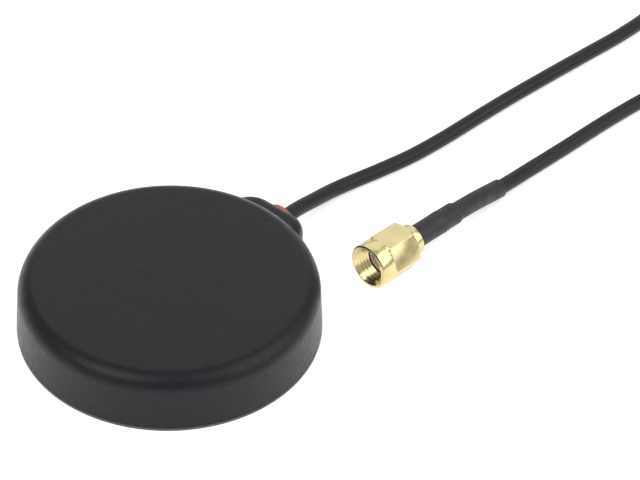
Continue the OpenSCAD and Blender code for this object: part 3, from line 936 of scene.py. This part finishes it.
def coverAngles():
    # closer together round the boss, wider apart elsewhere
    bossHalf = 32           # degrees
    fine = np.radians(np.linspace(-bossHalf, bossHalf, 129))
    coarse = np.radians(np.linspace(bossHalf, 360 - bossHalf, 221))[1:-1]
    return np.concatenate([fine, coarse])


def ringAt(radius, z, angles):
    radius = np.broadcast_to(radius, angles.shape)
    return np.stack([radius * np.cos(angles), radius * np.sin(angles), np.full(angles.shape, float(z))], -1)


def makeCover():
    c, angles = coverSet, coverAngles()
    centre = np.array([0, 0, c["seam"]])
    lean = (c["radius"] - c["wallTopRadius"]) / (c["wallTop"] - c["seam"])
    heights = np.concatenate([np.linspace(c["seam"], 4.4, 10), np.linspace(4.5, c["wallTop"], 34)])
    wall = [(c["radius"] - lean * (z - c["seam"]), z) for z in heights]
    edge, lift = c["edgeRadius"], c["edgeLift"]
    last = math.acos((edge - lift) / edge)
    across, up = c["wallTopRadius"] - edge, c["height"] + lift - edge
    fillet = [(across + edge * math.sin(a), up + edge * math.cos(a))
              for a in np.linspace(math.pi / 2, last, 26)[1:]]
    profile = np.array(wall + fillet)
    targets = np.stack([ringAt(r, z, angles) for r, z in profile])
    outside = castOut(coverDistance, targets, centre)
    bottom = outside[0].copy()
    spread = np.linalg.norm(bottom[:, :2], axis=1)[:, None]
    lip = bottom.copy()
    lip[:, :2] *= 1 - c["seamBevel"] / spread
    outside[0, :, 2] += c["seamBevel"]
    top = [ringAt(r, c["height"], angles) for r in (0.02, 4, 9, 14, 18.5, 21.5, 23)]
    within, ceiling, corner = c["innerRadius"], c["ceiling"], c["innerCorner"]
    inner = [(within, c["seam"]), (within, 5), (within, ceiling - corner), (within - corner, ceiling),
             (14, ceiling), (0.02, ceiling)]
    inner = np.stack([ringAt(r, z, angles) for r, z in inner])
    rows = np.concatenate([np.array(top), outside[::-1], lip[None], inner])
    cover = gridObject("radomeCover", rows, startCap=True, endCap=True)
    boreShape = [(0, 20), (c["sealBore"], 20), (c["sealBore"], 32), (0, 32)]
    cover = combined(cover, [sealSeatCutter(), lathe("sealBore", boreShape, 64, onExit)], "DIFFERENCE")
    posts = roundTheAxis("post", [(0.98, 2.65), (2.2, 2.65), (2.2, 9.6), (0.98, 9.6)], 40,
                         plateSet["screwRing"], plateSet["screwAngles"])
    cover = joined("radomeCover", [cover] + posts)
    plastic = grainedPlastic("radomePlastic", c["colour"], 0.36, 0.0003, 0.00006, 0.28)
    finishPiece(cover, plastic, "root", ["radome"])
    markTopEdge(cover)


def markTopEdge(cover):
    # the faint edge round the flat top stays crisp
    c, mesh, near = coverSet, cover.data, 0.02
    edgeRadius, lowered = c["edgeRadius"], c["edgeRadius"] - c["edgeLift"]
    ring = c["wallTopRadius"] - edgeRadius + math.sqrt(edgeRadius ** 2 - lowered ** 2)
    count = len(mesh.vertices)
    points = np.empty(count * 3)
    mesh.vertices.foreach_get("co", points)
    points = points.reshape(-1, 3) / mm
    across = np.hypot(points[:, 0], points[:, 1])
    onRing = (abs(across - ring) < near) & (abs(points[:, 2] - c["height"]) < near)
    sharp = mesh.attributes.get("sharp_edge") or mesh.attributes.new("sharp_edge", "BOOLEAN", "EDGE")
    for edge in mesh.edges:
        if onRing[edge.vertices[0]] and onRing[edge.vertices[1]]:
            sharp.data[edge.index].value = True


def archOutline(radius, bottom, steps=36):
    # round above the cable's axis and square below, as [across, up] about that axis
    outline = [(radius * math.cos(a), radius * math.sin(a)) for a in np.linspace(0, math.pi, steps)]
    return outline + [(-radius, -bottom), (radius, -bottom)]


def sealSeatCutter():
    outline = archOutline(coverSet["seatRadius"], exitZ + 1)
    rows = [[(x, y, exitZ + z) for y, z in outline] for x in (coverSet["seatBack"], 33)]
    return gridObject("seatCutter", np.array(rows), startCap=True, endCap=True)


def makePlate():
    p, angles = plateSet, coverAngles()
    rim = castOut(planDistance, ringAt(coverSet["radius"], 0, angles), np.zeros(3))

    def rimRing(inset, z):
        ring = rim.copy()
        ring[:, :2] *= 1 - inset / np.linalg.norm(rim[:, :2], axis=1)[:, None]
        ring[:, 2] = z
        return ring

    pad, recess, step, rimTop, top = p["padRadius"], p["padHeight"], p["plugRadius"], p["rimTop"], p["top"]
    # the pad's recess and a fine groove; the rim as [inset, height]; the step with the gasket's groove
    under = [(0.02, recess), (pad - 0.15, recess), (pad + 0.05, recess - 0.1), (pad + 0.05, 0.12),
             (pad + 0.17, 0), (24.6, 0), (24.7, 0.12), (25.1, 0.12), (25.2, 0)]
    edge = [(p["edgeBevel"] + 0.02, 0), (0.05, 0.05), (0, p["edgeBevel"]), (0, rimTop - 0.12),
            (0.04, rimTop - 0.04), (0.14, rimTop)]
    inside = [(step, rimTop), (step, 0.8), (23.4, 0.8), (23.4, 1.7), (step, 1.7), (step, top),
              (14, top), (0.02, top)]
    rings = [ringAt(r, z, angles) for r, z in under] + [rimRing(inset, z) for inset, z in edge]
    rings += [ringAt(r, z, angles) for r, z in inside]
    plate = gridObject("basePlate", np.array(rings), startCap=True, endCap=True)
    screwHole = [(0, -1), (1.95, -1), (1.95, 0.2), (1.05, 1.2), (1.05, 4), (0, 4)]
    cutters = roundTheAxis("screwHole", screwHole, 48, p["screwRing"], p["screwAngles"])
    pocket = [(0, 0), (4.05, 0), (4.05, 2.05), (0, 2.05)]
    cutters += roundTheAxis("magnetPocket", pocket, 48, p["magnetRing"], p["magnetAngles"])
    cutters.append(prism("trough", [(14, -3.3), (40, -3.3), (40, 3.3), (14, 3.3)], 1, 5))   # for the cable
    plate = combined(plate, [joined("plateCutter", cutters)], "DIFFERENCE")
    post = [(0.75, 2.4), (1.6, 2.4), (1.6, 5), (0.75, 5)]
    posts = roundTheAxis("boardPost", post, 32, p["postRing"], p["postAngles"])
    plate = joined("basePlate", [plate] + posts)
    plastic = grainedPlastic("basePlastic", p["colour"], 0.55, 0.0003, 0.00004)
    finishPiece(plate, plastic, "root", ["base_plate"])


def makePad():
    # thin rubber pad with fine rings in its underside
    p = plateSet
    profile = [(0, 0)]
    for k in range(int(p["padRadius"] / p["padRing"])):
        r = p["padRing"] * (k + 1)
        if r < p["padRadius"] - 1:
            profile += [(r - 0.3, 0), (r - 0.22, 0.1), (r - 0.08, 0.1), (r, 0)]
    profile += [(p["padRadius"] - 0.15, 0), (p["padRadius"] - 0.04, 0.04), (p["padRadius"], 0.15),
                (p["padRadius"], p["padHeight"]), (0, p["padHeight"])]
    pad = lathe("basePad", profile, 160)
    finishPiece(pad, rubber("padRubber", (0.014, 0.014, 0.014), 0.8), "root", ["base_pad"])


def makeScrews():
    steel = metal("screwSteel", (0.46, 0.46, 0.48), 0.3)
    thread = []
    for z in np.arange(10) * 0.4 + 1.9:
        thread += [(0.72, z), (0.95, z + 0.2)]
    shape = [(0, 0.2), (1.62, 0.2), (1.78, 0.28), (1.78, 0.36), (0.85, 1.35), (0.72, 1.6)] + thread + [
        (0.72, 6.0), (0.35, 6.5), (0, 6.5)]
    screw = lathe("baseScrew", shape, 40)
    screw = combined(screw, [bar("slot", 1, 0.2, 0, 0.75), bar("slot", 0.2, 1, 0, 0.75)], "DIFFERENCE")
    angles = plateSet["screwAngles"]
    screws = grown("baseScrews", copiesTree(), Count=len(angles), Radius=plateSet["screwRing"] * mm,
                   Start=math.radians(angles[0]), Piece=screw, Finish=steel)
    bpy.data.objects.remove(screw)
    finishPiece(screws, steel, "root", ["base_screws"])


# the seal at the cable's exit
sealSet = {
    "ringRadius": 3.25,
    "cornerReach": 4.35,
    "bodyRadius": 2.2,
    "backRadius": 2.3,
    "hole": 1.4,
    "front": 30.4,
    "back": 28.45,
    "colour": (0.50, 0.085, 0.04),
}


def makeSeal():
    # round above the cable and square below, down to the base plate
    s, columns = sealSet, 96
    angles = np.linspace(0, 2 * math.pi, columns, endpoint=False)
    drop = exitZ - coverSet["seam"] - 0.02
    below = np.maximum(-np.sin(angles), 1e-6)
    beside = np.maximum(np.abs(np.cos(angles)), 1e-6)
    square = np.minimum(drop / below, s["ringRadius"] / beside)
    arch = np.where(angles > math.pi, np.minimum(square, s["cornerReach"]), s["ringRadius"])

    def ring(radius, x):
        across, up = radius * np.cos(angles), exitZ + radius * np.sin(angles)
        return np.stack([np.full(columns, float(x)), across, up], -1)

    f, b = s["front"], s["back"]
    rows = [ring(s["hole"], f), ring(s["hole"] + 0.12, f - 0.04), ring(1.7, f - 0.06), ring(1.95, f),
            ring(arch - 0.5, f)]
    rows += [ring(arch - 0.42 * (1 - math.sin(t)), f - 0.42 * (1 - math.cos(t)))
             for t in np.linspace(0.15, math.pi / 2, 7)]
    rows += [ring(arch, b + 0.2), ring(arch - 0.15, b), ring(s["bodyRadius"] + 0.1, b),
             ring(s["bodyRadius"] - 0.02, b - 0.1), ring(s["bodyRadius"] - 0.02, 24.0),
             ring(s["backRadius"], 23.8), ring(s["backRadius"], 22.8), ring(s["backRadius"] - 0.2, 22.6),
             ring(s["hole"], 22.6)]
    seal = gridObject("cableSeal", np.array(rows), wrapRows=True)
    finishPiece(seal, siliconeSeal(), "root", ["cable_seal"], 40)


# strap round the stored coil
tieSet = {
    "wall": 0.7,
    "foot": 0.3,            # thinner where the coil stands on it
    "width": 5,
    "colour": (0.03, 0.03, 0.032),
    "ribs": 7,
    "ribStep": 1.0,
}


def makeTie():
    t, wide = tieSet, 2 * jacketSet["radius"]
    half, top = coilSet["columns"] * wide / 2, coilSet["layers"] * wide
    middle = coilSet["centre"][0] - (coilSet["outerRadius"] - wide * (coilSet["columns"] - 1) / 2)

    def loop(x, low, high, corner):
        made = []
        for cx, cz, start in ((x - corner, high - corner, 0), (corner - x, high - corner, 90),
                              (corner - x, low + corner, 180), (x - corner, low + corner, 270)):
            made += [(cx + corner * math.cos(a), cz + corner * math.sin(a))
                     for a in np.radians(range(start, start + 91, 15))]
        return np.array(made)

    outer = loop(half + t["wall"], 0, top + t["wall"], 1.8)
    inner = loop(half, t["foot"], top, 1.1)
    side = t["width"] / 2
    edge = [(0, side - 0.2), (0.008, side - 0.06), (0.3, side), (0.7, side), (1, side - 0.2)]
    profile = [(0, -side + 0.2)] + edge + [(depth, -y) for depth, y in reversed(edge[1:])]
    rows = []
    for depth, y in profile:        # depth: 0 on the strap's outside, 1 on its inside
        shape = outer * (1 - depth) + inner * depth
        sideways = np.full(len(shape), coilSet["centre"][1] + y)
        rows.append(np.stack([middle + shape[:, 0], sideways, shape[:, 1]], -1))
    band = gridObject("coilTie", np.array(rows), wrapRows=True)
    parts = [band]
    for k in range(t["ribs"]):
        rib = bar("tieRib", 0.24, 2.3, top + t["wall"] - 0.1, top + t["wall"] + 0.18)
        place = [middle + t["ribStep"] * (k - (t["ribs"] - 1) / 2), coilSet["centre"][1], 0]
        parts.append(bevelled(reshaped(rib, lambda points, place=place: points + place), 0.08))
    tie = joined("coilTie", parts)
    return finishPiece(tie, rubber("tieRubber", t["colour"], 0.65), "root", ["coil_tie"])


# inner pieces keep their own shapes and get their finishes
def paint(material, *names):
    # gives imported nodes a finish
    for name in names:
        node = frame["nodes"][name]
        node.data.materials.clear()
        node.data.materials.append(material)


def paintInside(gold):
    paint(rubber("perimeterRubber", (0.012, 0.012, 0.012)), "perimeter_gasket")
    paint(metal("boardScrewSteel", (0.5, 0.5, 0.52), 0.28), "board_screws")
    paint(metal("stopSteel", (0.5, 0.5, 0.5), 0.35, worn=0.7), "cable_stop")
    paint(metal("magnetNickel", (0.55, 0.54, 0.51), 0.22), "magnets")
    paint(boardLacquer(), "circuit_board")
    paint(metal("tinPlate", (0.6, 0.6, 0.58), 0.38, (1, 8, 1)), "shield_can")
    paint(grainedPlastic("chipPlastic", (0.015, 0.015, 0.016), 0.5, 0.0001, 0.00001), "board_chips")
    paint(bakedCeramic(), "lower_patch", "upper_patch")
    paint(metal("firedSilver", (0.72, 0.7, 0.66), 0.45, worn=0.85), "lower_electrode", "upper_electrode")
    paint(metal("pinGold", plugSet["gold"], 0.25), "feed_pins")
    paint(braidedMetal(), "coax_braid")
    paint(whiteInsulator(), "coax_insulation")
    paint(metal("coreCopper", (0.72, 0.38, 0.22), 0.3), "coax_core")
    paint(metal("solderTin", (0.6, 0.6, 0.62), 0.25), "solder_joints")
    paint(gold, "crimp_ferrule", "nut_ring")


gold = metal("plugGold", plugSet["gold"], 0.2, (1, 1, 1))
makeCover()
print("radome made")
makePlate()
makePad()
makeScrews()
print("underside made")
makeSeal()
sleeves = makeSleeves()
plugPieces = makePlug(gold)
nut = makeNut(gold)
print("plug made")
tie = makeTie()
paintInside(gold)
finishPiece(cableJacket, jacketPlastic(), "root", ["cable_out", "cable_coil", "cable_back"])
print("finishes given")
